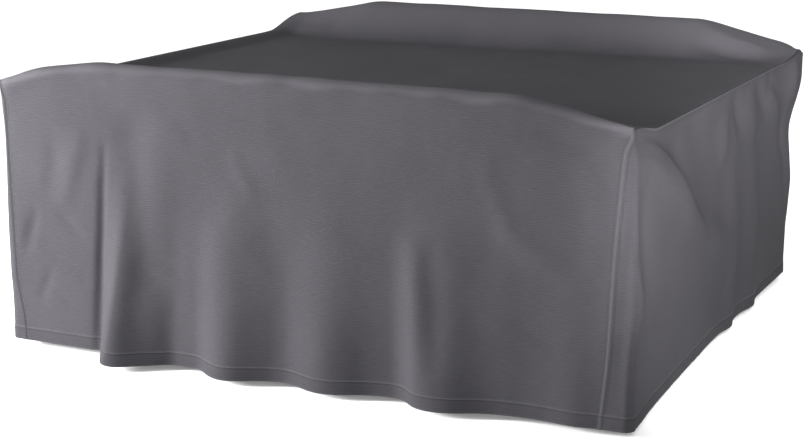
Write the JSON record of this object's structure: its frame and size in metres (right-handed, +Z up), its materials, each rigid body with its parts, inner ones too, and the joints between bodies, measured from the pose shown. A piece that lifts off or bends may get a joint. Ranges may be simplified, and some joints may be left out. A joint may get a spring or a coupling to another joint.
{
  "type": "patio furniture cover",
  "caption": "Fitted woven cover for a garden table with its chairs: a hollow cloth box with raised crests at front and back, flared folds and a stitched hem.",
  "frame": {"origin": "middle of the table-top area, on the underside of the cloth, where the cover lies on what it covers", "axes": "+Z up, +X along the front towards the right-hand end, +Y from the front to the back"},
  "size_m": [1.9895, 2.004, 0.875],
  "materials": {
    "woven_cloth": "matt anthracite weave with fine cross ribs"
  },
  "bodies": {
    "root": {"main_length": "woven_cloth", "end_right": "woven_cloth", "end_left": "woven_cloth"}
  },
  "joints": []
}
